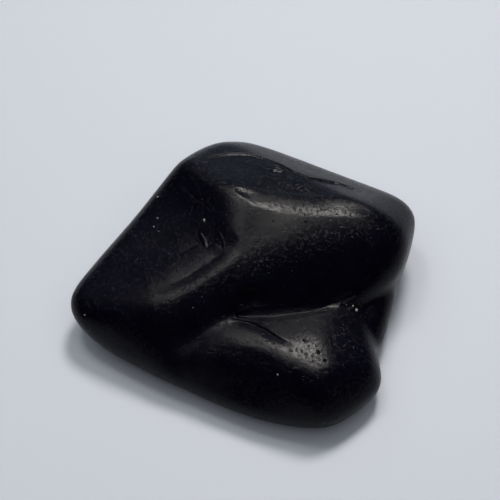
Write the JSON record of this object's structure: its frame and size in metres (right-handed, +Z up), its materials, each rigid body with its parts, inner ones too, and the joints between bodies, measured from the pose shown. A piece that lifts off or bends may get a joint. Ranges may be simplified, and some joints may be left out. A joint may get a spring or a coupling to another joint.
{
  "type": "jet pebble",
  "caption": "Tumbled black stone with a low hipped crown, a shallow flake scar and rounded lobes that meet in a creased valley. It lies on its flat side.",
  "frame": {"origin": "on the resting face, below the middle of the stone's bounding box", "axes": "+X from the left tip to the right lobe, +Y from the front lobe to the back tip, +Z up from the flat side it lies on"},
  "size_m": [0.05, 0.046, 0.016],
  "materials": {
    "jet": "black, tumbled to a soft gloss, with fine pits, small chips and a few pale specks"
  },
  "bodies": {
    "root": {"jet_pebble": "jet"}
  },
  "joints": []
}
